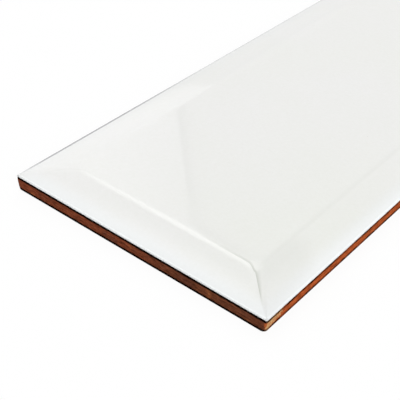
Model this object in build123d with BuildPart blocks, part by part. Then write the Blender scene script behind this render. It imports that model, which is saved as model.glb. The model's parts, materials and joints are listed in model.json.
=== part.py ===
from build123d import *
import math
import os

# Bevelled ceramic wall tile: a pressed red clay body under a white glaze.
# It lies on its back with the glazed face up. Sizes are in millimetres.
# X runs along the tile, Y across it, and Z up from the back, with the origin under its middle.

# Outer form, over the glaze
tile_length = 300.0
tile_width = 100.0
tile_thickness = 8.8
bevel_width = 13.6  # in plan, from the tile's side to its flat field
bevel_rise = 3.3  # from the rim up to the flat field
side_draft = 4.0  # degrees that the sides lean in towards the back
rim_corner_radius = 1.5
field_corner_radius = 4.2
crest_radius = 4.0  # the glaze pools to a soft crest round the flat field

# Glaze coat
glaze_thickness = 0.4
glaze_skirt = 0.2  # how far the coat runs down the side below the clay's own rim
glaze_rim_radius = 0.3

# Clay body
foot_edge_radius = 0.3

# Keying pockets pressed into the back, which the adhesive grips
key_length = 24.5  # along the tile
key_width = 16.5
key_rib = 3.5
key_margin = 8.0  # the least land left round the outside
key_depth = 0.8
key_draft = 20.0
key_corner_radius = 2.0

# Heights and insets that follow from the sizes above
bevel_slope = bevel_rise / bevel_width
side_lean = math.tan(math.radians(side_draft))
rim_height = tile_thickness - bevel_rise
clay_field_height = tile_thickness - glaze_thickness
clay_rim_height = clay_field_height - (bevel_width - glaze_thickness) * bevel_slope
glaze_line = clay_rim_height - glaze_skirt
foot_inset = rim_height * side_lean
line_inset = (rim_height - glaze_line) * side_lean
clay_inset = glaze_thickness + line_inset


def outline(height, inset, corner_radius):
    """One level section of the tile: its rectangle drawn in by the inset, with round corners."""
    with BuildSketch(Plane.XY.offset(height)) as section:
        RectangleRounded(tile_length - 2 * inset, tile_width - 2 * inset, corner_radius)
    return section.sketch


foot = outline(0, foot_inset, rim_corner_radius)
line = outline(glaze_line, line_inset, rim_corner_radius)
rim = outline(rim_height, 0, rim_corner_radius)
field = outline(tile_thickness, bevel_width, field_corner_radius)
clay_line = outline(glaze_line, clay_inset, rim_corner_radius)
clay_rim = outline(clay_rim_height, clay_inset, rim_corner_radius)
clay_field = outline(clay_field_height, bevel_width, field_corner_radius)

# The clay that stands up inside the coat: a low step, then four mitred bevels and the flat field
with BuildPart() as clay_top:
    loft(sections=[clay_line, clay_rim], ruled=True)
    loft(sections=[clay_rim, clay_field], ruled=True)

# Clay body: drafted sides, a softened foot, the bevelled top and the keying pockets
column_pitch = key_length + key_rib
row_pitch = key_width + key_rib
key_columns = int((tile_length - 2 * (foot_inset + key_margin) + key_rib) / column_pitch)
key_rows = int((tile_width - 2 * (foot_inset + key_margin) + key_rib) / row_pitch)

with BuildPart() as clay_body:
    loft(sections=[foot, line], ruled=True)
    fillet(clay_body.faces().sort_by(Axis.Z)[0].edges(), foot_edge_radius)
    add(clay_top.part)
    with BuildSketch(Plane.XY):
        with GridLocations(column_pitch, row_pitch, key_columns, key_rows):
            RectangleRounded(key_length, key_width, key_corner_radius)
    extrude(amount=key_depth, taper=key_draft, mode=Mode.SUBTRACT)

# Glaze: one coat over the field, the bevels and the rim, which ends in a thin lip on the sides
with BuildPart() as glaze:
    loft(sections=[line, rim], ruled=True)
    loft(sections=[rim, field], ruled=True)
    level_edges = glaze.edges().filter_by(Plane.XY).group_by(Axis.Z)
    fillet(level_edges[-1], crest_radius)
    rim_edges = glaze.edges().filter_by(Plane.XY).group_by(Axis.Z)[1]
    fillet(rim_edges, glaze_rim_radius)
    add(clay_top.part, mode=Mode.SUBTRACT)

clay_body.part.label = "clay_body"
glaze.part.label = "glaze"

os.makedirs("parts", exist_ok=True)
export_step(clay_body.part, "parts/clay_body.step")
export_step(glaze.part, "parts/glaze.step")

print("keying pockets", key_columns * key_rows)
print("clay volume %.0f mm3, glaze volume %.0f mm3" % (clay_body.part.volume, glaze.part.volume))
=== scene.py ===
import bpy
import json
import math
from mathutils import Matrix, Vector

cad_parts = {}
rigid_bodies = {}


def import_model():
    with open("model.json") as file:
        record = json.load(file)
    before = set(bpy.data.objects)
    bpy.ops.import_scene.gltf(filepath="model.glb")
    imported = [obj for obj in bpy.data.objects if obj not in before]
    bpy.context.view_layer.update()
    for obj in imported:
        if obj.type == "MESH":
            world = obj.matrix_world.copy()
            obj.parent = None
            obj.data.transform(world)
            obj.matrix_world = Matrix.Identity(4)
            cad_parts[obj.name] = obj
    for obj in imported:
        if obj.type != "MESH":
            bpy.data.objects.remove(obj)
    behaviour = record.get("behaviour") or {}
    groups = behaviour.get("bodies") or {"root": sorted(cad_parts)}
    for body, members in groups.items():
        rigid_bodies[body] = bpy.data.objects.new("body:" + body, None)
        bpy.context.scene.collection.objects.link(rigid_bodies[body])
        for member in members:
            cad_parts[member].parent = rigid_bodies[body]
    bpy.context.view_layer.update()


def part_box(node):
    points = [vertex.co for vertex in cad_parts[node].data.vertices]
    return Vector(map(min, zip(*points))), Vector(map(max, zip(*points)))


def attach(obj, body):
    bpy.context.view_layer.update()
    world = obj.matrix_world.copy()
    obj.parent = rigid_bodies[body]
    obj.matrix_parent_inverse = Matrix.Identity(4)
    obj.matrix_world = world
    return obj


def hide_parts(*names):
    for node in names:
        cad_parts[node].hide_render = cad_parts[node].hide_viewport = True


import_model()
mm = 0.001

# The tile's outer sizes come from the frame; the rest repeats the real tile's own sizes, in millimetres
clayLow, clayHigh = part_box("clay_body")
glazeLow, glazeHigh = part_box("glaze")
print("frame read: clay from", round(clayLow.z / mm, 2), "to", round(clayHigh.z / mm, 2), "mm")
tile = {
    "length": (glazeHigh.x - glazeLow.x) / mm,
    "width": (glazeHigh.y - glazeLow.y) / mm,
    "thickness": glazeHigh.z / mm,
    "sideLean": math.tan(math.radians(4)),
    "bevelWidth": 13.6,
    "bevelRise": 3.3,
    "cornerRadius": 0.45,
    "fieldCornerRadius": 4.2,
}

camera = {
    "place": (-348.1, -149.8, 209.6),
    "looking": (0.67388, 0.43440, -0.59765),
    "right": (0.60093, -0.79285, 0.10129),
    "lens": 94.2,
    "sensor": 36,
}


def makeCamera():
    data = bpy.data.cameras.new("camera")
    data.lens = camera["lens"]
    data.sensor_width = camera["sensor"]
    data.clip_start = 0.01
    data.clip_end = 20
    shot = bpy.data.objects.new("camera", data)
    bpy.context.scene.collection.objects.link(shot)
    back = -Vector(camera["looking"]).normalized()
    right = Vector(camera["right"]).normalized()
    up = back.cross(right).normalized()
    right = up.cross(back)
    turn = Matrix((right, up, back)).transposed()
    shot.matrix_world = Matrix.Translation(Vector(camera["place"]) * mm) @ turn.to_4x4()
    bpy.context.scene.camera = shot


makeCamera()
print("camera set")


# Small helpers for building node trees

def addNode(tree, kind, feeds=None, **settings):
    made = tree.nodes.new(kind)
    for name, value in settings.items():
        setattr(made, name, value)
    for key, value in (feeds or {}).items():
        if isinstance(value, bpy.types.NodeSocket):
            tree.links.new(value, made.inputs[key])
        else:
            made.inputs[key].default_value = value
    return made


def sums(tree, operation, *feeds, clamp=False):
    made = addNode(tree, "ShaderNodeMath", dict(enumerate(feeds)), operation=operation, use_clamp=clamp)
    return made.outputs[0]


def vectors(tree, operation, *feeds):
    made = addNode(tree, "ShaderNodeVectorMath", dict(enumerate(feeds)), operation=operation)
    return made.outputs["Value" if operation in ("LENGTH", "DOT_PRODUCT", "DISTANCE") else "Vector"]


def scaled(tree, vector, scale):
    return addNode(tree, "ShaderNodeVectorMath", {0: vector, "Scale": scale}, operation="SCALE").outputs[0]


def mapRange(tree, value, low, high, outLow=0.0, outHigh=1.0, smooth=True):
    feeds = {"Value": value, "From Min": low, "From Max": high, "To Min": outLow, "To Max": outHigh}
    kind = "SMOOTHSTEP" if smooth else "LINEAR"
    return addNode(tree, "ShaderNodeMapRange", feeds, interpolation_type=kind).outputs["Result"]


def addSocket(tree, name, kind, value=None, out=False):
    made = tree.interface.new_socket(name, in_out="OUTPUT" if out else "INPUT", socket_type=kind)
    if value is not None:
        made.default_value = value


# Geometry Nodes: a drawn section is swept round the tile's outline with mitred corners.
# Each point of the section holds its inset from the side, the corner radius there and its height.

raggedness = {
    "wanderScale": 420.0,  # features to the metre
    "nickScale": 900.0,
    "nickAt": (0.64, 0.72),  # the noise at which a nick begins and is full
    "nickRise": 0.9,
    "grainScale": 1100.0,
    "grainMiddle": 0.75,
}


def makeSweepGroup():
    tree = bpy.data.node_groups.new("sweepRound", "GeometryNodeTree")
    addSocket(tree, "Section", "NodeSocketGeometry")
    addSocket(tree, "Length", "NodeSocketFloat", 0.3)
    addSocket(tree, "Width", "NodeSocketFloat", 0.1)
    addSocket(tree, "Corner Radius", "NodeSocketFloat", 0.00045)
    addSocket(tree, "Corner Points", "NodeSocketInt", 10)
    addSocket(tree, "Step", "NodeSocketFloat", 0.0005)
    addSocket(tree, "Rag", "NodeSocketFloat", 0.0001)
    addSocket(tree, "End Drop", "NodeSocketFloat", 0.0)
    addSocket(tree, "Roughness", "NodeSocketFloat", 0.00003)
    addSocket(tree, "Seed", "NodeSocketFloat", 1.0)
    addSocket(tree, "Mesh", "NodeSocketGeometry", out=True)
    given = addNode(tree, "NodeGroupInput").outputs
    result = addNode(tree, "NodeGroupOutput")

    # The outline, with points only where the arcs need them and every step along the sides
    outline = addNode(tree, "GeometryNodeCurvePrimitiveQuadrilateral",
                      {"Width": given["Length"], "Height": given["Width"]}).outputs["Curve"]
    outline = addNode(tree, "GeometryNodeFilletCurve",
                      {"Curve": outline, "Count": given["Corner Points"], "Radius": given["Corner Radius"]},
                      mode="POLY").outputs["Curve"]
    place = addNode(tree, "GeometryNodeInputPosition").outputs[0]
    following = addNode(tree, "GeometryNodeOffsetPointInCurve", {"Offset": 1}).outputs["Point Index"]
    nextPlace = addNode(tree, "GeometryNodeFieldAtIndex", {"Index": following, "Value": place},
                        data_type="FLOAT_VECTOR").outputs[0]
    span = vectors(tree, "DISTANCE", place, nextPlace)
    cuts = sums(tree, "FLOOR", sums(tree, "DIVIDE", span, given["Step"]))
    outline = addNode(tree, "GeometryNodeSubdivideCurve", {"Curve": outline, "Cuts": cuts}).outputs["Curve"]

    # Each outline point keeps its place on the straight-sided core, from -1 to 1, and its outward direction
    halfSize = addNode(tree, "ShaderNodeCombineXYZ", {
        "X": sums(tree, "MULTIPLY", given["Length"], 0.5),
        "Y": sums(tree, "MULTIPLY", given["Width"], 0.5)}).outputs[0]
    radius = addNode(tree, "ShaderNodeCombineXYZ", {"X": given["Corner Radius"], "Y": given["Corner Radius"]})
    core = vectors(tree, "SUBTRACT", halfSize, radius.outputs[0])
    opposite = vectors(tree, "MULTIPLY", core, (-1.0, -1.0, -1.0))
    held = vectors(tree, "MAXIMUM", vectors(tree, "MINIMUM", place, core), opposite)
    anchor = vectors(tree, "DIVIDE", held, core)
    outward = vectors(tree, "NORMALIZE", vectors(tree, "SUBTRACT", place, held))
    for name, value in (("anchor", anchor), ("outward", outward)):
        outline = addNode(tree, "GeometryNodeStoreNamedAttribute",
                          {"Geometry": outline, "Name": name, "Value": value},
                          data_type="FLOAT_VECTOR", domain="POINT").outputs[0]

    # The section becomes a curve that keeps its own numbers
    section = addNode(tree, "GeometryNodeStoreNamedAttribute",
                      {"Geometry": given["Section"], "Name": "section", "Value": place},
                      data_type="FLOAT_VECTOR", domain="POINT").outputs[0]
    section = addNode(tree, "GeometryNodeMeshToCurve", {"Mesh": section}).outputs[0]
    swept = addNode(tree, "GeometryNodeCurveToMesh", {"Curve": outline, "Profile Curve": section}).outputs[0]

    # Every swept point is put where the section says
    def stored(name, kind="FLOAT_VECTOR"):
        return addNode(tree, "GeometryNodeInputNamedAttribute", {"Name": name}, data_type=kind).outputs[0]
    parts = addNode(tree, "ShaderNodeSeparateXYZ", {"Vector": stored("section")}).outputs
    drawnIn = sums(tree, "ADD", parts["X"], parts["Y"])
    drawn = addNode(tree, "ShaderNodeCombineXYZ", {"X": drawnIn, "Y": drawnIn}).outputs[0]
    there = vectors(tree, "MULTIPLY", stored("anchor"), vectors(tree, "SUBTRACT", halfSize, drawn))
    roundness = addNode(tree, "ShaderNodeCombineXYZ", {"X": parts["Y"], "Y": parts["Y"]}).outputs[0]
    there = vectors(tree, "ADD", there, vectors(tree, "MULTIPLY", stored("outward"), roundness))
    lift = addNode(tree, "ShaderNodeCombineXYZ", {"Z": parts["Z"]}).outputs[0]
    there = vectors(tree, "ADD", there, lift)
    swept = addNode(tree, "GeometryNodeSetPosition", {"Geometry": swept, "Position": there}).outputs[0]

    # A ragged lower edge where the section asks for it, and a slightly rough face
    ringPlace = vectors(tree, "MULTIPLY", stored("anchor"), halfSize)

    def noise(at, scale, detail):
        feeds = {"Vector": at, "W": given["Seed"], "Scale": scale, "Detail": detail}
        return addNode(tree, "ShaderNodeTexNoise", feeds, noise_dimensions="4D").outputs[0]
    r = raggedness
    wander = noise(ringPlace, r["wanderScale"], 3.0)
    nicks = noise(ringPlace, r["nickScale"], 1.0)
    nicks = mapRange(tree, nicks, *r["nickAt"], 0.0, r["nickRise"])
    ragged = sums(tree, "ADD", sums(tree, "MULTIPLY", sums(tree, "SUBTRACT", wander, 0.5), 2.0), nicks)
    facing = addNode(tree, "ShaderNodeSeparateXYZ", {"Vector": stored("outward")}).outputs["X"]
    hang = sums(tree, "MULTIPLY", sums(tree, "ABSOLUTE", facing), given["End Drop"])
    ragged = sums(tree, "SUBTRACT", sums(tree, "MULTIPLY", ragged, given["Rag"]), hang)
    ragged = sums(tree, "MULTIPLY", ragged, stored("rag", "FLOAT"))
    grain = sums(tree, "SUBTRACT", noise(place, r["grainScale"], 4.0), r["grainMiddle"])
    grain = sums(tree, "MULTIPLY", grain, given["Roughness"])
    grain = sums(tree, "MULTIPLY", grain, stored("rough", "FLOAT"))
    push = scaled(tree, stored("outward"), grain)
    rise = addNode(tree, "ShaderNodeCombineXYZ", {"Z": ragged}).outputs[0]
    moved = vectors(tree, "ADD", push, rise)
    swept = addNode(tree, "GeometryNodeSetPosition", {"Geometry": swept, "Offset": moved})
    tree.links.new(swept.outputs[0], result.inputs["Mesh"])
    return tree


sweepGroup = makeSweepGroup()
print("sweep group built")


def setInput(modifier, tree, name, value):
    socket = next(s for s in tree.interface.items_tree if s.item_type == "SOCKET" and s.name == name)
    modifier[socket.identifier] = value


# A section is a list of (inset, corner radius, height, rag weight, rough weight), in millimetres
def sectionObject(name, points):
    mesh = bpy.data.meshes.new(name)
    corners = [(inset * mm, radius * mm, height * mm) for inset, radius, height, rag, rough in points]
    mesh.from_pydata(corners, [(i, i + 1) for i in range(len(corners) - 1)], [])
    for at, weight in ((3, "rag"), (4, "rough")):
        layer = mesh.attributes.new(weight, "FLOAT", "POINT")
        layer.data.foreach_set("value", [p[at] for p in points])
    made = bpy.data.objects.new(name, mesh)
    bpy.context.scene.collection.objects.link(made)
    return made


def applied(piece, name):
    graph = bpy.context.evaluated_depsgraph_get()
    mesh = bpy.data.meshes.new_from_object(piece.evaluated_get(graph), depsgraph=graph)
    old = piece.data
    piece.modifiers.clear()
    piece.data = mesh
    bpy.data.meshes.remove(old)
    mesh.name = name
    for used in ("anchor", "outward", "section", "rag", "rough"):
        layer = mesh.attributes.get(used)
        if layer:
            mesh.attributes.remove(layer)
    return mesh


# Heights of the face: the bevel is a little crowned, steeper towards the rim
glazeValues = {
    "coat": 0.4,
    "crestSlope": 10.84,
    "rimSlope": 20.42,
    "rimReach": 4.5,
    "crestRun": 1.7,
    "rimRadius": 0.9,
    "lipSlope": 44.0,  # degrees, where the rim's arc stops
    "lipDrop": 0.05,  # the lip's own thickness below that
    # The lip's underside: inset, height above the lip, and how ragged
    "underLip": ((0.03, 0.0, 1.0), (0.12, -0.01, 0.8), (0.26, 0.04, 0.3), (0.4, 0.1, 0.0)),
    "step": 0.45,
    "rag": 0.1,
    "endDrop": 0.22,  # how much lower the lip hangs on the two ends
}


def rimStart():
    # How far in from the side the rim's arc begins
    g = glazeValues
    return g["rimRadius"] * (math.sin(math.radians(g["lipSlope"])) - math.sin(math.radians(g["rimSlope"])))


def bevelLine():
    # Points from the crest down to the rim's arc, softened into the flat field
    g = glazeValues
    start = rimStart()
    end = tile["bevelWidth"] + g["crestRun"]
    steps = 400
    run = (end - start) / steps
    line = [(end, 0.0)]
    height = 0.0
    steepening = g["rimSlope"] - g["crestSlope"]
    for i in range(steps):
        inset = end - (i + 0.5) * run
        slope = g["crestSlope"] + steepening * math.exp(-(inset - start) / g["rimReach"])
        across = (end - inset) / (2 * g["crestRun"])
        soft = min(1.0, max(0.0, across))
        slope *= soft * soft * (3 - 2 * soft)
        height -= math.tan(math.radians(slope)) * run
        line.append((inset - run / 2, height))
    return line


def cornerRadiusAt(inset):
    share = min(1.0, inset / tile["bevelWidth"])
    if inset <= tile["bevelWidth"]:
        return tile["cornerRadius"] + (tile["fieldCornerRadius"] - tile["cornerRadius"]) * share
    inner = tile["width"] / 2 - tile["bevelWidth"]
    return tile["fieldCornerRadius"] * max(0.0, 1 - (inset - tile["bevelWidth"]) / inner)


def lipHeight(line):
    g = glazeValues
    arcDrop = math.cos(math.radians(g["rimSlope"])) - math.cos(math.radians(g["lipSlope"]))
    return tile["thickness"] + line[-1][1] - g["rimRadius"] * arcDrop - g["lipDrop"]


def faceInsets():
    # Close together round the crest and the rim, wider on the plain bevel and the flat field
    g = glazeValues
    crest = tile["bevelWidth"]
    insets = [crest + g["crestRun"] * (1 - i / 7) for i in range(15)]
    insets += [crest - g["crestRun"] - i * 1.25 for i in range(1, 8)]
    insets += [2.6, 1.9, 1.4, 1.0]
    return sorted((i for i in insets if i > rimStart() + 0.08), reverse=True)


def innerInsets():
    # The coat's inner face and the clay under it need far fewer points
    crest, soft = tile["bevelWidth"], glazeValues["crestRun"]
    return [1.2, 6.0, crest - soft, crest, crest + soft]


def heightAt(line, inset):
    for (a, za), (b, zb) in zip(line, line[1:]):
        if b <= inset <= a:
            return za + (zb - za) * (a - inset) / (a - b)
    return line[-1][1]


def makeGlazeSection():
    g = glazeValues
    top = tile["thickness"]
    spine = tile["width"] / 2
    radius = tile["cornerRadius"]
    line = bevelLine()
    points = [(spine, 0.0, top, 0.0, 0.0)]
    for inset in (40.0, 30.0, 22.0, 17.0):
        points.append((inset, cornerRadiusAt(inset), top, 0.0, 0.0))
    for inset in faceInsets():
        points.append((inset, cornerRadiusAt(inset), top + heightAt(line, inset), 0.0, 0.0))

    # The rim's arc, down to the lip
    first, last = math.radians(g["rimSlope"]), math.radians(g["lipSlope"])
    arcSteps = 9
    for i in range(arcSteps + 1):
        turn = first + (last - first) * i / arcSteps
        inset = g["rimRadius"] * (math.sin(last) - math.sin(turn))
        height = top + line[-1][1] - g["rimRadius"] * (math.cos(first) - math.cos(turn))
        points.append((inset, radius, height, max(0.0, (i - 2) / (arcSteps - 2)), 0.0))
    lip = lipHeight(line)
    for inset, rise, rag in g["underLip"]:
        points.append((inset, radius, lip + rise, rag, 0.0))

    # The coat's inner face, which the clay follows
    for inset in innerInsets():
        points.append((inset, cornerRadiusAt(inset), top - g["coat"] + heightAt(line, inset), 0.0, 0.0))
    points.append((spine, 0.0, top - g["coat"], 0.0, 0.0))
    print("lip's height", round(lip, 3), "mm")
    return points


def merged(tree, shape, distance):
    return addNode(tree, "GeometryNodeMergeByDistance", {"Geometry": shape, "Distance": distance}).outputs[0]


def dressed(tree, shape, material):
    shape = addNode(tree, "GeometryNodeRealizeInstances", {"Geometry": shape}).outputs[0]
    return addNode(tree, "GeometryNodeSetMaterial", {"Geometry": shape, "Material": material}).outputs[0]


def makeGlazeTree():
    tree = bpy.data.node_groups.new("glazeCoat", "GeometryNodeTree")
    addSocket(tree, "Section", "NodeSocketGeometry")
    for name, value in (("Length", 0.3), ("Width", 0.1), ("Corner Radius", 0.00045), ("Step", 0.0005),
                        ("Rag", 0.0001), ("End Drop", 0.0), ("Merge", 0.000002), ("Seed", 1.0)):
        addSocket(tree, name, "NodeSocketFloat", value)
    addSocket(tree, "Material", "NodeSocketMaterial")
    addSocket(tree, "Geometry", "NodeSocketGeometry", out=True)
    given = addNode(tree, "NodeGroupInput").outputs
    result = addNode(tree, "NodeGroupOutput")
    names = ("Section", "Length", "Width", "Corner Radius", "Step", "Rag", "End Drop", "Seed")
    sweep = addNode(tree, "GeometryNodeGroup", node_tree=sweepGroup)
    for name in names:
        tree.links.new(given[name], sweep.inputs[name])
    shape = merged(tree, sweep.outputs["Mesh"], given["Merge"])
    shape = addNode(tree, "GeometryNodeSetShadeSmooth", {"Geometry": shape}).outputs[0]
    tree.links.new(dressed(tree, shape, given["Material"]), result.inputs[0])
    return tree


def makeGlaze(material):
    piece = sectionObject("glaze_coat", makeGlazeSection())
    tree = makeGlazeTree()
    modifier = piece.modifiers.new("glazeCoat", "NODES")
    modifier.node_group = tree
    setInput(modifier, tree, "Length", tile["length"] * mm)
    setInput(modifier, tree, "Width", tile["width"] * mm)
    setInput(modifier, tree, "Corner Radius", tile["cornerRadius"] * mm)
    setInput(modifier, tree, "Step", glazeValues["step"] * mm)
    setInput(modifier, tree, "Rag", glazeValues["rag"] * mm)
    setInput(modifier, tree, "End Drop", glazeValues["endDrop"] * mm)
    setInput(modifier, tree, "Material", material)
    mesh = applied(piece, "glaze_coat")
    print("glaze coat:", len(mesh.vertices), "points", len(mesh.polygons), "faces")
    return piece


# The clay: its top follows the coat from below, its sides lean in, and its back is keyed

clayValues = {
    "gap": 0.03,  # between the coat and the clay under it
    "groove": 0.16,  # how deep the shadow line under the glaze is
    "grooveHeight": 0.3,
    "footRadius": 0.18,
    "footCorner": 1.5,  # the clay's corners open to this radius at the foot
    "ledge": (0.06, 0.11),  # how far behind the coat the clay steps in over the lip, and how high
    "rings": 9,  # down the bare side
    "ringsBelow": 0.25,  # how far under the groove they start
    "land": 10.0,  # width of plain land round the back
    "keyLength": 24.5,
    "keyWidth": 16.5,
    "keyRib": 3.5,
    "keyColumns": 10,
    "keyRows": 4,
    "keyDepth": 0.8,
    "keyCorner": 2.0,
    "step": 0.6,
    "roughness": 0.09,
    "sharpAngle": 0.6,  # radians, past which an edge stays sharp
}


def makeClaySection():
    c = clayValues
    radius = tile["cornerRadius"]
    top = tile["thickness"] - glazeValues["coat"] - c["gap"]
    spine = tile["width"] / 2
    line = bevelLine()
    rim = tile["thickness"] - tile["bevelRise"]

    def lean(height):
        return (rim - height) * tile["sideLean"]

    def cornerAt(height):
        return radius + (c["footCorner"] - radius) * (1 - min(1.0, height / first)) ** 2

    points = [(spine, 0.0, top, 0.0, 0.0)]
    for inset in reversed(innerInsets()):
        points.append((inset, cornerRadiusAt(inset), top + heightAt(line, inset), 0.0, 0.0))
    underLip = lipHeight(line) - c["gap"]
    step = glazeValues["coat"] + c["ledge"][0]
    points.append((step, radius, underLip + c["ledge"][1], 0.0, 0.0))
    points.append((step, radius, underLip, 1.0, 0.0))
    points.append((lean(underLip) + c["groove"], radius, underLip - 0.05, 1.0, 0.3))
    grooveEnd = underLip - c["grooveHeight"]
    points.append((lean(grooveEnd) + 0.05, radius, grooveEnd, 1.0, 0.7))
    first = grooveEnd - glazeValues["endDrop"] - c["ringsBelow"]
    for i in range(c["rings"]):
        height = first + (c["footRadius"] - first) * i / (c["rings"] - 1)
        points.append((lean(height), cornerAt(height), height, 0.0, 1.0))
    foot = c["footRadius"]
    for i in range(1, 6):
        turn = math.pi / 2 * i / 5
        inset = lean(foot) + foot * (1 - math.cos(turn))
        points.append((inset, c["footCorner"], foot * (1 - math.sin(turn)), 0.0, 1 - i / 5))
    points.append((c["land"], radius, 0.0, 0.0, 0.0))
    return points


def makeKeySection():
    # From the pocket's mouth, over a soft edge, down its draft and round to its floor
    c = clayValues
    r, d = c["keyCorner"], c["keyDepth"]
    wall = ((0.0, 0.0), (0.05, 0.05), (0.09, 0.14), (0.28, d - 0.2),
            (0.36, d - 0.08), (0.52, d - 0.02), (0.8, d))
    points = [(inset, r - inset, depth, 0.0, 0.0) for inset, depth in wall]
    return points + [(c["keyWidth"] / 2, 0.0, d, 0.0, 0.0)]


def makeClayTree():
    tree = bpy.data.node_groups.new("clayBody", "GeometryNodeTree")
    addSocket(tree, "Section", "NodeSocketGeometry")
    addSocket(tree, "Key Section", "NodeSocketObject")
    for name, value in (("Length", 0.3), ("Width", 0.1), ("Corner Radius", 0.00045), ("Step", 0.0006),
                        ("Rag", 0.0001), ("End Drop", 0.0), ("Roughness", 0.0001), ("Key Length", 0.02),
                        ("Key Width", 0.02), ("Key Corner", 0.002), ("Key Rib", 0.0035), ("Merge", 0.000002),
                        ("Seed", 4.0)):
        addSocket(tree, name, "NodeSocketFloat", value)
    addSocket(tree, "Key Columns", "NodeSocketInt", 10)
    addSocket(tree, "Key Rows", "NodeSocketInt", 4)
    addSocket(tree, "Material", "NodeSocketMaterial")
    addSocket(tree, "Geometry", "NodeSocketGeometry", out=True)
    given = addNode(tree, "NodeGroupInput").outputs
    result = addNode(tree, "NodeGroupOutput")

    # The body's own skin, open only on its back
    body = addNode(tree, "GeometryNodeGroup", node_tree=sweepGroup)
    names = ("Section", "Length", "Width", "Corner Radius", "Step", "Rag", "End Drop", "Roughness", "Seed")
    for name in names:
        tree.links.new(given[name], body.inputs[name])

    # One keying pocket, set out on a grid
    keySection = addNode(tree, "GeometryNodeObjectInfo", {"Object": given["Key Section"]}).outputs["Geometry"]
    key = addNode(tree, "GeometryNodeGroup", {
        "Section": keySection, "Length": given["Key Length"], "Width": given["Key Width"],
        "Corner Radius": given["Key Corner"], "Corner Points": 5, "Step": 0.006, "Rag": 0.0,
        "Roughness": 0.0}, node_tree=sweepGroup)
    across = {}
    for axis, count, size in (("X", "Key Columns", "Key Length"), ("Y", "Key Rows", "Key Width")):
        pitch = sums(tree, "ADD", given[size], given["Key Rib"])
        across[axis] = sums(tree, "MULTIPLY", pitch, sums(tree, "SUBTRACT", given[count], 1.0))
    grid = addNode(tree, "GeometryNodeMeshGrid", {
        "Size X": across["X"], "Size Y": across["Y"],
        "Vertices X": given["Key Columns"], "Vertices Y": given["Key Rows"]}).outputs["Mesh"]
    keys = addNode(tree, "GeometryNodeInstanceOnPoints", {"Points": grid, "Instance": key.outputs["Mesh"]})
    keys = addNode(tree, "GeometryNodeRealizeInstances", {"Geometry": keys.outputs[0]}).outputs[0]

    joined = addNode(tree, "GeometryNodeJoinGeometry")
    tree.links.new(body.outputs["Mesh"], joined.inputs[0])
    tree.links.new(keys, joined.inputs[0])
    skin = merged(tree, joined.outputs[0], given["Merge"])

    # The land between them fills what is still open
    faces = addNode(tree, "GeometryNodeInputMeshEdgeNeighbors").outputs["Face Count"]
    openEdge = addNode(tree, "FunctionNodeCompare", {2: faces, 3: 1}, data_type="INT", operation="EQUAL")
    openEdge = openEdge.outputs[0]
    rings = addNode(tree, "GeometryNodeMeshToCurve", {"Mesh": skin, "Selection": openEdge}).outputs[0]
    land = addNode(tree, "GeometryNodeFillCurve", {"Curve": rings}).outputs[0]
    land = addNode(tree, "GeometryNodeFlipFaces", {"Mesh": land}).outputs[0]
    closed = addNode(tree, "GeometryNodeJoinGeometry")
    tree.links.new(skin, closed.inputs[0])
    tree.links.new(land, closed.inputs[0])
    shape = merged(tree, closed.outputs[0], given["Merge"])

    # Smooth, with the sharp turns kept
    shape = addNode(tree, "GeometryNodeSetShadeSmooth", {"Geometry": shape, "Shade Smooth": True},
                    domain="FACE").outputs[0]
    angle = addNode(tree, "GeometryNodeInputMeshEdgeAngle").outputs["Unsigned Angle"]
    sharp = addNode(tree, "FunctionNodeCompare", {0: angle, 1: clayValues["sharpAngle"]},
                    data_type="FLOAT", operation="GREATER_THAN").outputs[0]
    shape = addNode(tree, "GeometryNodeSetShadeSmooth",
                    {"Geometry": shape, "Selection": sharp, "Shade Smooth": False}, domain="EDGE").outputs[0]
    tree.links.new(dressed(tree, shape, given["Material"]), result.inputs[0])
    return tree


def makeClay(material):
    c = clayValues
    piece = sectionObject("clay_biscuit", makeClaySection())
    keySection = sectionObject("keySection", makeKeySection())
    tree = makeClayTree()
    modifier = piece.modifiers.new("clayBody", "NODES")
    modifier.node_group = tree
    setInput(modifier, tree, "Key Section", keySection)
    sizes = {"Length": tile["length"], "Width": tile["width"], "Corner Radius": tile["cornerRadius"],
             "Step": c["step"], "Rag": glazeValues["rag"], "End Drop": glazeValues["endDrop"],
             "Roughness": c["roughness"], "Key Length": c["keyLength"],
             "Key Width": c["keyWidth"], "Key Corner": c["keyCorner"], "Key Rib": c["keyRib"]}
    for name, size in sizes.items():
        setInput(modifier, tree, name, size * mm)
    setInput(modifier, tree, "Key Columns", c["keyColumns"])
    setInput(modifier, tree, "Key Rows", c["keyRows"])
    setInput(modifier, tree, "Material", material)
    mesh = applied(piece, "clay_biscuit")
    bpy.data.objects.remove(keySection)
    print("clay body:", len(mesh.vertices), "points", len(mesh.polygons), "faces")
    return piece


# Materials

def newMaterial(name):
    material = bpy.data.materials.new(name)
    material.use_nodes = True
    tree = material.node_tree
    tree.nodes.clear()
    return material, tree


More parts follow.
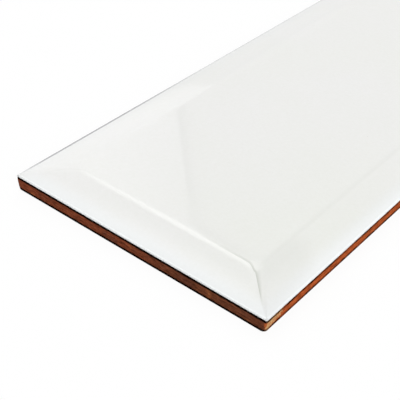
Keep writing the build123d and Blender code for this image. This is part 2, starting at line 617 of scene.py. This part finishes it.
def makePlaceGroup():
    # Where a point lies on the tile, in millimetres: in from its edges, off the mitre line, and its height
    tree = bpy.data.node_groups.new("tilePlace", "ShaderNodeTree")
    addSocket(tree, "Length", "NodeSocketFloat", 300.0)
    addSocket(tree, "Width", "NodeSocketFloat", 100.0)
    for name in ("Inset", "From End", "From Side", "Skew", "Height", "End"):
        addSocket(tree, name, "NodeSocketFloat", out=True)
    addSocket(tree, "Place", "NodeSocketVector", out=True)
    given = addNode(tree, "NodeGroupInput").outputs
    result = addNode(tree, "NodeGroupOutput")
    place = addNode(tree, "ShaderNodeTexCoord").outputs["Object"]
    place = scaled(tree, place, 1 / mm)
    parts = addNode(tree, "ShaderNodeSeparateXYZ", {0: place}).outputs

    def fromEdge(size, axis):
        half = sums(tree, "MULTIPLY", given[size], 0.5)
        return sums(tree, "SUBTRACT", half, sums(tree, "ABSOLUTE", parts[axis]))
    fromEnd = fromEdge("Length", "X")
    fromSide = fromEdge("Width", "Y")
    apart = sums(tree, "SUBTRACT", fromEnd, fromSide)
    tree.links.new(sums(tree, "MINIMUM", fromEnd, fromSide), result.inputs["Inset"])
    skew = sums(tree, "MULTIPLY", apart, math.sqrt(0.5))
    tree.links.new(skew, result.inputs["Skew"])
    tree.links.new(fromEnd, result.inputs["From End"])
    tree.links.new(fromSide, result.inputs["From Side"])
    tree.links.new(parts["Z"], result.inputs["Height"])
    tree.links.new(mapRange(tree, apart, 0.3, -0.3, 0.0, 1.0), result.inputs["End"])
    tree.links.new(place, result.inputs["Place"])
    return tree


def makeCloudGroup():
    # Slow changes of tone under finer ones, from 0 to 1 about a middle of 0.5
    tree = bpy.data.node_groups.new("firedClouds", "ShaderNodeTree")
    addSocket(tree, "Place", "NodeSocketVector")
    addSocket(tree, "Size", "NodeSocketFloat", 20.0)
    addSocket(tree, "Detail", "NodeSocketFloat", 3.0)
    addSocket(tree, "Seed", "NodeSocketFloat", 0.0)
    addSocket(tree, "Spread", "NodeSocketFloat", 2.0)
    addSocket(tree, "Value", "NodeSocketFloat", out=True)
    given = addNode(tree, "NodeGroupInput").outputs
    result = addNode(tree, "NodeGroupOutput")
    noise = addNode(tree, "ShaderNodeTexNoise", {
        "Vector": given["Place"], "W": given["Seed"], "Scale": sums(tree, "DIVIDE", 1.0, given["Size"]),
        "Detail": given["Detail"]}, noise_dimensions="4D").outputs[0]
    spread = sums(tree, "MULTIPLY", sums(tree, "SUBTRACT", noise, 0.5), given["Spread"])
    tree.links.new(sums(tree, "ADD", spread, 0.5, clamp=True), result.inputs["Value"])
    return tree


placeGroup = makePlaceGroup()
cloudGroup = makeCloudGroup()


def tilePlace(tree):
    feeds = {"Length": tile["length"], "Width": tile["width"]}
    return addNode(tree, "ShaderNodeGroup", feeds, node_tree=placeGroup).outputs


def xyz(tree, place):
    return addNode(tree, "ShaderNodeSeparateXYZ", {0: place}).outputs


def product(tree, *values):
    made = values[0]
    for value in values[1:]:
        made = sums(tree, "MULTIPLY", made, value)
    return made


def less(tree, value):
    # What is left of 1
    return sums(tree, "SUBTRACT", 1.0, value)


def speckled(tree, colour, grain, spans):
    # Lightens and darkens a colour by a grain, a little differently in each channel
    feeds = {i: mapRange(tree, grain, 0.0, 1.0, *span, False) for i, span in enumerate(spans)}
    return blended(tree, 1.0, colour, addNode(tree, "ShaderNodeCombineColor", feeds).outputs[0], "MULTIPLY")


def clouds(tree, place, size, detail=3.0, seed=0.0, spread=2.0):
    feeds = {"Place": place, "Size": size, "Detail": detail, "Seed": seed, "Spread": spread}
    return addNode(tree, "ShaderNodeGroup", feeds, node_tree=cloudGroup).outputs["Value"]


def blended(tree, amount, first, second, kind="MIX"):
    made = tree.nodes.new("ShaderNodeMix")
    made.data_type = "RGBA"
    made.blend_type = kind
    for slot, value in ((0, amount), (6, first), (7, second)):
        if isinstance(value, bpy.types.NodeSocket):
            tree.links.new(value, made.inputs[slot])
        else:
            made.inputs[slot].default_value = (*value, 1) if isinstance(value, tuple) else value
    return made.outputs[2]


def near(tree, place, point, inner, outer):
    # 1 close to a point, in millimetres, falling to 0
    return mapRange(tree, vectors(tree, "DISTANCE", place, point), outer, inner)


whiteGlaze = {
    "tone": (0.860, 0.855, 0.845),
    "coolTone": (0.845, 0.862, 0.866),
    "warmTone": (0.840, 0.850, 0.806),
    "rimHighlightTone": (0.93, 0.95, 0.955),
    # The next tone is painted shade, the dark reflection along the mitres and crests
    "mitreShadeTone": (0.575, 0.59, 0.54),
    "thinTone": (0.72, 0.70, 0.68),
    # The grey edge tone is painted shade on the far arris
    "greyEdgeTone": (0.36, 0.36, 0.37),
    "holeTone": (0.42, 0.38, 0.33),
    "speckle": ((0.985, 1.012), (0.985, 1.012), (0.98, 1.016)),
    "warmPlace": (-112.0, -46.0, 8.0),
    "mitreShift": 0.7,  # how far the thin line lies off the mesh's own mitre, towards the end
    "mitreWidth": (0.75, 2.2),  # of its soft side, low on the bevel and up at the crest
    "crestLine": 13.9,  # how far in from the end it runs on along the crest
    "crestBend": (18.5, 13.0),  # how far in from the long side it bends out of the mitre
    "bendBy": 1.9,
    "arris": (1.35, 0.75),  # in from the far long side, where the painted shade band begins and is full
    "roughness": (0.016, 0.025),
    "peelHeight": 0.0006,  # millimetres, of the faint orange peel
    "swellHeight": 0.002,  # and of the slow swell that bends reflections
    "holeDepth": 0.03,
}


def makeGlazeMaterial():
    g = whiteGlaze
    material, tree = newMaterial("whiteGlaze")
    where = tilePlace(tree)
    place, inset, skew, fromSide = where["Place"], where["Inset"], where["Skew"], where["From Side"]
    axes = xyz(tree, place)
    nearCorner = (-tile["length"] / 2, -tile["width"] / 2, 7.0)

    # The fired white drifts between a warmer and a cooler tone, with a fine speckle
    drift = clouds(tree, place, 34.0, 2.0, 1.0, 2.2)
    warmCorner = near(tree, place, g["warmPlace"], 12.0, 72.0)
    warmth = sums(tree, "ADD", product(tree, drift, 0.4), product(tree, warmCorner, 0.6))
    colour = blended(tree, warmth, g["tone"], g["warmTone"])
    farSide = mapRange(tree, sums(tree, "ADD", axes["Y"], skew), 30.0, 60.0)
    pool = product(tree, mapRange(tree, inset, 7.0, 0.5), mapRange(tree, farSide, 0.0, 1.0, 0.85, 0.3))
    colour = blended(tree, pool, colour, g["coolTone"])
    # The rim is painted lighter, a painted highlight that keeps the turned edge white where it faces away
    # from the light
    rim = product(tree, mapRange(tree, inset, 1.0, 0.45), mapRange(tree, farSide, 0.0, 1.0, 1.0, 0.5))
    colour = blended(tree, rim, colour, g["rimHighlightTone"])
    colour = speckled(tree, colour, clouds(tree, place, 0.9, 2.0, 5.0, 2.0), g["speckle"])

    # Painted shade along each mitre, standing in for the dark reflection in the crease: sharp on the end's
    # side, soft and wider up the long side's bevel
    half = mapRange(tree, inset, 5.0, 12.5, *g["mitreWidth"])
    offLine = sums(tree, "ADD", skew, g["mitreShift"])
    fade = sums(tree, "SUBTRACT", 1.0, sums(tree, "DIVIDE", offLine, half), clamp=True)
    corner = near(tree, place, nearCorner, 21.0, 34.0)
    paintedCrease = product(tree, sums(tree, "POWER", fade, 1.6), mapRange(tree, offLine, -0.1, 0.04),
                     mapRange(tree, inset, 3.0, 7.0), mapRange(tree, inset, 13.4, 12.2),
                     mapRange(tree, corner, 0.0, 1.0, 0.08, 1.0))
    colour = blended(tree, paintedCrease, colour, g["mitreShadeTone"])

    # The same painted shade line runs on inside the end's crest, bending out of the mitre
    bend = product(tree, sums(tree, "POWER", mapRange(tree, fromSide, *g["crestBend"]), 2.2), g["bendBy"])
    past = sums(tree, "SUBTRACT", sums(tree, "ADD", where["From End"], bend), g["crestLine"])
    atCorner = near(tree, place, nearCorner, 22.0, 50.0)
    line = product(tree, mapRange(tree, past, -0.15, 0.1), mapRange(tree, past, 1.3, 0.1),
                   mapRange(tree, offLine, 0.15, -0.1), mapRange(tree, fromSide, 44.0, 14.0, 0.1, 0.85),
                   mapRange(tree, atCorner, 0.0, 1.0, 0.1, 1.0))
    colour = blended(tree, line, colour, g["mitreShadeTone"])

    # A faint painted shade line follows the crest of the near long side
    paintedCrestShade = product(tree, mapRange(tree, fromSide, 12.6, 13.6), mapRange(tree, fromSide, 15.2, 13.8),
                      mapRange(tree, axes["Y"], 0.0, -5.0, 0.0, 0.09), mapRange(tree, skew, 0.0, 1.5))
    colour = blended(tree, paintedCrestShade, colour, g["mitreShadeTone"])

    # The lip is thin enough to let the clay show through in places
    lipLine = lipHeight(bevelLine())
    aboveLip = sums(tree, "ADD", where["Height"], product(tree, where["End"], glazeValues["endDrop"]))
    lip = product(tree, mapRange(tree, aboveLip, lipLine + 0.1, lipLine + 0.02),
                  mapRange(tree, clouds(tree, place, 2.4, 3.0, 8.0, 2.5), 0.35, 0.75, 0.0, 0.8))
    colour = blended(tree, lip, colour, g["thinTone"])

    # Painted shade greys one long arris over part of its length, where the far rim turns away from the light;
    # the tip of one corner is greyed too
    band = [tile["width"] / 2 - inwards for inwards in g["arris"]]
    farRimShade = product(tree, mapRange(tree, axes["Y"], *band),
                     mapRange(tree, axes["X"], -45.0, -100.0, 0.25, 1.0),
                     mapRange(tree, axes["X"], -150.0, -136.0, 0.15, 1.0))
    colour = blended(tree, farRimShade, colour, g["greyEdgeTone"])
    tipPlace = (-tile["length"] / 2 + 0.3, -tile["width"] / 2 + 0.3, lipLine + 0.15)
    tip = near(tree, place, tipPlace, 0.25, 0.9)
    colour = blended(tree, product(tree, tip, 0.3), colour, g["greyEdgeTone"])

    # Pinholes, a few to the palm
    cell = addNode(tree, "ShaderNodeTexVoronoi", {"Vector": place, "Scale": 0.09, "Randomness": 1.0},
                   feature="F1", voronoi_dimensions="3D").outputs
    hole = mapRange(tree, cell["Distance"], 0.016, 0.008)
    colour = blended(tree, product(tree, hole, 0.35), colour, g["holeTone"])

    # Faint relief: orange peel over a slow swell
    peel = addNode(tree, "ShaderNodeTexNoise", {"Vector": place, "Scale": 0.55, "Detail": 1.0}).outputs[0]
    swell = addNode(tree, "ShaderNodeTexNoise", {"Vector": place, "Scale": 0.075, "Detail": 1.0}).outputs[0]
    relief = product(tree, peel, g["peelHeight"] * mm)
    relief = sums(tree, "ADD", relief, product(tree, swell, g["swellHeight"] * mm))
    relief = sums(tree, "SUBTRACT", relief, product(tree, hole, g["holeDepth"] * mm))
    bump = addNode(tree, "ShaderNodeBump", {"Strength": 1.0, "Distance": 1.0, "Height": relief})
    rough = mapRange(tree, clouds(tree, place, 6.0, 2.0, 3.0, 1.6), 0.0, 1.0, *g["roughness"], False)
    shader = addNode(tree, "ShaderNodeBsdfPrincipled", {
        "Base Color": colour, "Roughness": rough, "Normal": bump.outputs[0], "IOR": 1.5})
    out = addNode(tree, "ShaderNodeOutputMaterial")
    tree.links.new(shader.outputs[0], out.inputs["Surface"])
    return material


redClay = {
    "sideTone": (0.554, 0.119, 0.034),
    # The end tone is partly the clay's own brown and partly painted shade
    "endToneAndShade": (0.199, 0.064, 0.031),
    "endFarTone": (0.275, 0.071, 0.032),
    "backTone": (0.445, 0.126, 0.05),
    "purpleTone": (0.154, 0.054, 0.034),
    "paleTone": (0.624, 0.21, 0.065),
    "sandTone": (0.884, 0.52, 0.229),
    "scuffTone": (0.585, 0.136, 0.04),
    # The next tone is painted shadow, for the line under the lip and the foot
    "shadowLineTone": (0.009, 0.003, 0.002),
    "dustTone": (0.66, 0.42, 0.30),
    "grain": ((0.52, 1.5), (0.48, 1.54), (0.46, 1.56)),  # darkest and lightest, channel by channel
    "sandReach": (0.6, 9.6),  # along the side from the corner, at the back and 2.5 mm up
    "topLine": (0.84, 0.5),  # below the lip, where the painted shadow line begins and is full
    "footLine": (0.92, 0.5),  # and above the back, where the painted dark foot does
    "lineWider": (0.6, 0.3),  # how much wider both are, on the long sides and on the ends
    "lineWander": 0.22,
    "roughness": 0.88,
    "specular": 0.0,
    "relief": 0.12,  # millimetres
}


def makeClayMaterial():
    c = redClay
    material, tree = newMaterial("redClay")
    where = tilePlace(tree)
    place, height, end = where["Place"], where["Height"], where["End"]
    axes = xyz(tree, place)

    # The long sides fire orange red; the ends are chocolate brown, partly their own colour and partly painted
    # shade, lighter towards the far side, and with purple patches
    endToneAndShade = blended(tree, mapRange(tree, axes["Y"], -18.0, 5.0), c["endToneAndShade"], c["endFarTone"])
    colour = blended(tree, end, c["sideTone"], endToneAndShade)
    onBack = mapRange(tree, where["Inset"], 0.9, 3.5)
    colour = blended(tree, onBack, colour, c["backTone"])
    end = product(tree, end, less(tree, onBack))
    patches = product(tree, mapRange(tree, clouds(tree, place, 5.0, 4.0, 2.0, 2.4), 0.5, 0.95),
                      mapRange(tree, end, 0.0, 1.0, 0.25, 0.7))
    colour = blended(tree, patches, colour, c["purpleTone"])
    pale = mapRange(tree, clouds(tree, place, 7.0, 3.0, 9.0, 2.4), 0.6, 1.0)
    colour = blended(tree, product(tree, pale, 0.35), colour, c["paleTone"])
    streaks = vectors(tree, "MULTIPLY", place, (0.35, 0.35, 1.6))
    colour = speckled(tree, colour, clouds(tree, streaks, 0.7, 4.0, 6.0, 2.6), c["grain"])

    # Sandy grit near one corner of a long side, and an orange scuff on that corner
    fromCorner = sums(tree, "ADD", axes["X"], tile["length"] / 2)
    grit = clouds(tree, place, 0.8, 4.0, 4.0, 3.0)
    reach = mapRange(tree, height, 0.0, 2.5, *c["sandReach"], False)
    reach = sums(tree, "ADD", reach, product(tree, sums(tree, "SUBTRACT", grit, 0.5), 3.2))
    sandAt = product(tree, mapRange(tree, sums(tree, "SUBTRACT", reach, fromCorner), 0.0, 2.4),
                     mapRange(tree, grit, 0.2, 0.8, 0.45, 1.0), less(tree, end),
                     mapRange(tree, axes["Y"], 0.0, -10.0))
    colour = blended(tree, sandAt, colour, c["sandTone"])
    flattened = vectors(tree, "MULTIPLY", place, (1.0, 1.0, 0.5))
    scuffPlace = (-tile["length"] / 2 + 0.25, -tile["width"] / 2 + 0.35, 1.6)
    scuff = near(tree, flattened, scuffPlace, 0.35, 0.75)
    colour = blended(tree, product(tree, scuff, 0.9), colour, c["scuffTone"])

    # Painted shadow: a dark line under the glaze lip and a dark foot where the tile meets the floor, heavy on
    # the ends and broken on the long sides
    broken = mapRange(tree, clouds(tree, place, 3.0, 3.0, 7.0, 2.6), 0.35, 0.7)
    weight = sums(tree, "MAXIMUM", end, sums(tree, "ADD", 0.6, product(tree, broken, 0.3)))
    lipLine = lipHeight(bevelLine())
    wander = sums(tree, "SUBTRACT", clouds(tree, place, 1.1, 3.0, 13.0, 2.6), 0.5)
    ragged = sums(tree, "ADD", height, product(tree, wander, c["lineWander"]))
    underLip = sums(tree, "ADD", ragged, product(tree, end, glazeValues["endDrop"]))
    wider = mapRange(tree, end, 0.0, 1.0, *c["lineWider"])
    top = mapRange(tree, sums(tree, "ADD", underLip, wider), *(lipLine - below for below in c["topLine"]))
    foot = product(tree, mapRange(tree, sums(tree, "SUBTRACT", ragged, wider), *c["footLine"]),
                   mapRange(tree, height, 0.005, 0.03))
    paintedShadow = product(tree, sums(tree, "MAXIMUM", top, foot), weight, less(tree, onBack))
    colour = blended(tree, paintedShadow, colour, c["shadowLineTone"])

    # Pale dust on the back, rubbed off in patches, and thicker in the pockets
    back = mapRange(tree, height, 0.05, 0.0)
    pockets = product(tree, mapRange(tree, where["Inset"], 9.0, 10.5), mapRange(tree, height, 0.9, 0.75))
    left = mapRange(tree, clouds(tree, place, 16.0, 5.0, 11.0, 2.4), 0.2, 0.9, 0.06, 0.42)
    dusty = product(tree, sums(tree, "MAXIMUM", back, pockets), left)
    colour = blended(tree, dusty, colour, c["dustTone"])

    coarse = addNode(tree, "ShaderNodeTexNoise", {
        "Vector": place, "Scale": 1.6, "Detail": 5.0, "Roughness": 0.65}).outputs[0]
    bump = addNode(tree, "ShaderNodeBump", {
        "Strength": 1.0, "Distance": 1.0, "Height": product(tree, coarse, c["relief"] * mm)})
    shader = addNode(tree, "ShaderNodeBsdfPrincipled", {
        "Specular IOR Level": c["specular"], "Base Color": colour, "Roughness": c["roughness"],
        "Normal": bump.outputs[0]})
    out = addNode(tree, "ShaderNodeOutputMaterial")
    tree.links.new(shader.outputs[0], out.inputs["Surface"])
    return material


glaze = makeGlaze(makeGlazeMaterial())
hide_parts("glaze")
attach(glaze, "root")
clay = makeClay(makeClayMaterial())
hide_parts("clay_body")
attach(clay, "root")
print("tile made")


# Floor and light

paleFloor = {
    "reach": 6.0,  # metres from the middle to each edge
    "litTone": (0.55, 0.55, 0.55, 1),  # what the tile gets back from it
    "glow": 0.93,  # how much of the white that the camera sees is its own
}


def makeFloor():
    mesh = bpy.data.meshes.new("floor")
    reach = paleFloor["reach"]
    corners = [(-reach, -reach, 0), (reach, -reach, 0), (reach, reach, 0), (-reach, reach, 0)]
    mesh.from_pydata(corners, [], [(0, 1, 2, 3)])
    floor = bpy.data.objects.new("floor", mesh)
    bpy.context.scene.collection.objects.link(floor)
    material, tree = newMaterial("paleFloor")
    rays = addNode(tree, "ShaderNodeLightPath").outputs
    seen = sums(tree, "MAXIMUM", rays["Is Camera Ray"], rays["Is Glossy Ray"])
    seen = sums(tree, "MAXIMUM", seen, rays["Is Transmission Ray"])
    matt = addNode(tree, "ShaderNodeBsdfDiffuse", {"Color": paleFloor["litTone"]})
    pale = addNode(tree, "ShaderNodeBsdfDiffuse", {"Color": (1, 1, 1, 1)})
    glow = addNode(tree, "ShaderNodeEmission", {"Color": (1, 1, 1, 1), "Strength": 1.0})
    white = addNode(tree, "ShaderNodeMixShader", {
        0: paleFloor["glow"], 1: pale.outputs[0], 2: glow.outputs[0]})
    both = addNode(tree, "ShaderNodeMixShader", {0: seen, 1: matt.outputs[0], 2: white.outputs[0]})
    out = addNode(tree, "ShaderNodeOutputMaterial")
    tree.links.new(both.outputs[0], out.inputs["Surface"])
    mesh.materials.append(material)


# Soft studio light, all of it in the world.
# Each panel is (azimuth, elevation, inner and outer radius, strength, tint), with its angles in degrees.
light = {
    "base": 0.2,
    "panels": {
        "backWall": (24, 30, 18, 42, 0.77, (1.0, 1.0, 0.97)),
        "softboxHigh": (56, 48, 16, 20, 0.16, (1.0, 1.0, 1.0)),
        "softboxLeft": (85, 67, 8, 20, 2.06, (0.97, 1.0, 1.0)),
        "softboxRight": (-12, 41, 2, 8, 1.23, (0.98, 1.0, 1.0)),
        "softboxTop": (-6, 49, 3, 8, 0.7, (0.98, 1.0, 1.0)),
        "overhead": (0, 90, 20, 36, 0.2, (1.0, 1.0, 1.0)),
        "fillNear": (239, 41, 21, 37, 2.29, (1.0, 1.0, 1.0)),
        "lamp": (41, 48, 3, 11, 1.0, (1.0, 1.0, 1.0)),
        "lampTail": (33, 51, 4, 12, 0.9, (1.0, 1.0, 1.0)),
    },
    # Three straight edges bound the window, each a plane through the tile with its dark side positive
    "windowEdges": ((0.1398, -0.8054, 0.5761), (0.6602, -0.7240, -0.2000), (0.7060, -0.0662, -0.7051)),
    "windows": ((64, 28, 20, 29, 0.54), (48, 26, 25, 45, 0.8)),
    "lowWallEdge": (0.689, -0.595, -0.414),  # low down, the wall hides the window past this plane
    "lowWall": 0.82,
    "lowWallToward": (30, 10),  # azimuth and elevation of the part of it that shows
    "lowWallSpread": (0.75, 0.9),
    "edgeSoftness": 0.0012,
    "edgeShade": 0.55,  # the dark frame just outside the window
    "edgeWidth": 0.014,
}


def direction(azimuth, elevation):
    a, e = math.radians(azimuth), math.radians(elevation)
    return (math.cos(e) * math.cos(a), math.cos(e) * math.sin(a), math.sin(e))


def makeLight():
    world = bpy.data.worlds.new("studio")
    bpy.context.scene.world = world
    world.use_nodes = True
    tree = world.node_tree
    tree.nodes.clear()
    ray = addNode(tree, "ShaderNodeTexCoord").outputs["Generated"]

    def lobe(azimuth, elevation, inner, outer, strength):
        facing = vectors(tree, "DOT_PRODUCT", ray, direction(azimuth, elevation))
        low, high = math.cos(math.radians(outer)), math.cos(math.radians(inner))
        return mapRange(tree, facing, low, high, 0.0, strength)

    # How far a direction lies inside the dark side of all three window edges
    depth = None
    for edge in light["windowEdges"]:
        side = vectors(tree, "DOT_PRODUCT", ray, edge)
        depth = side if depth is None else sums(tree, "MINIMUM", depth, side)
    soft = light["edgeSoftness"]
    outside = mapRange(tree, depth, -soft, soft, 1.0, 0.0)
    frameShade = mapRange(tree, depth, soft, light["edgeWidth"], light["edgeShade"], 0.0)
    frameShade = sums(tree, "MULTIPLY", frameShade, mapRange(tree, depth, -soft, soft))

    low = mapRange(tree, vectors(tree, "DOT_PRODUCT", ray, light["lowWallEdge"]), -soft, soft)
    clear = product(tree, outside, less(tree, low))

    total = (light["base"],) * 3
    for name, (azimuth, elevation, inner, outer, strength, tint) in light["panels"].items():
        amount = lobe(azimuth, elevation, inner, outer, strength)
        if name == "backWall":
            wall = sums(tree, "SUBTRACT", less(tree, outside), frameShade)
            amount = sums(tree, "MULTIPLY", amount, wall)
        total = vectors(tree, "ADD", total, scaled(tree, tint, amount))
    for window in light["windows"]:
        glimpse = sums(tree, "MULTIPLY", clear, lobe(*window))
        total = vectors(tree, "ADD", total, scaled(tree, (1.0, 1.0, 1.0), glimpse))
    above = mapRange(tree, vectors(tree, "DOT_PRODUCT", ray, (0.0, 0.0, 1.0)), -soft, soft)
    toward = vectors(tree, "DOT_PRODUCT", ray, direction(*light["lowWallToward"]))
    ahead = mapRange(tree, toward, *light["lowWallSpread"])
    hidden = product(tree, outside, low, above, ahead, light["lowWall"])
    total = vectors(tree, "ADD", total, scaled(tree, (1.0, 1.0, 1.0), hidden))
    glow = addNode(tree, "ShaderNodeBackground", {"Color": total, "Strength": 1.0})
    rays = addNode(tree, "ShaderNodeLightPath").outputs
    white = addNode(tree, "ShaderNodeBackground", {"Color": (1, 1, 1, 1), "Strength": 1.0})
    both = addNode(tree, "ShaderNodeMixShader", {
        0: rays["Is Camera Ray"], 1: glow.outputs[0], 2: white.outputs[0]})
    out = addNode(tree, "ShaderNodeOutputWorld")
    tree.links.new(both.outputs[0], out.inputs["Surface"])


makeFloor()
makeLight()
bpy.context.scene.view_settings.view_transform = "Standard"
print("floor and light set")
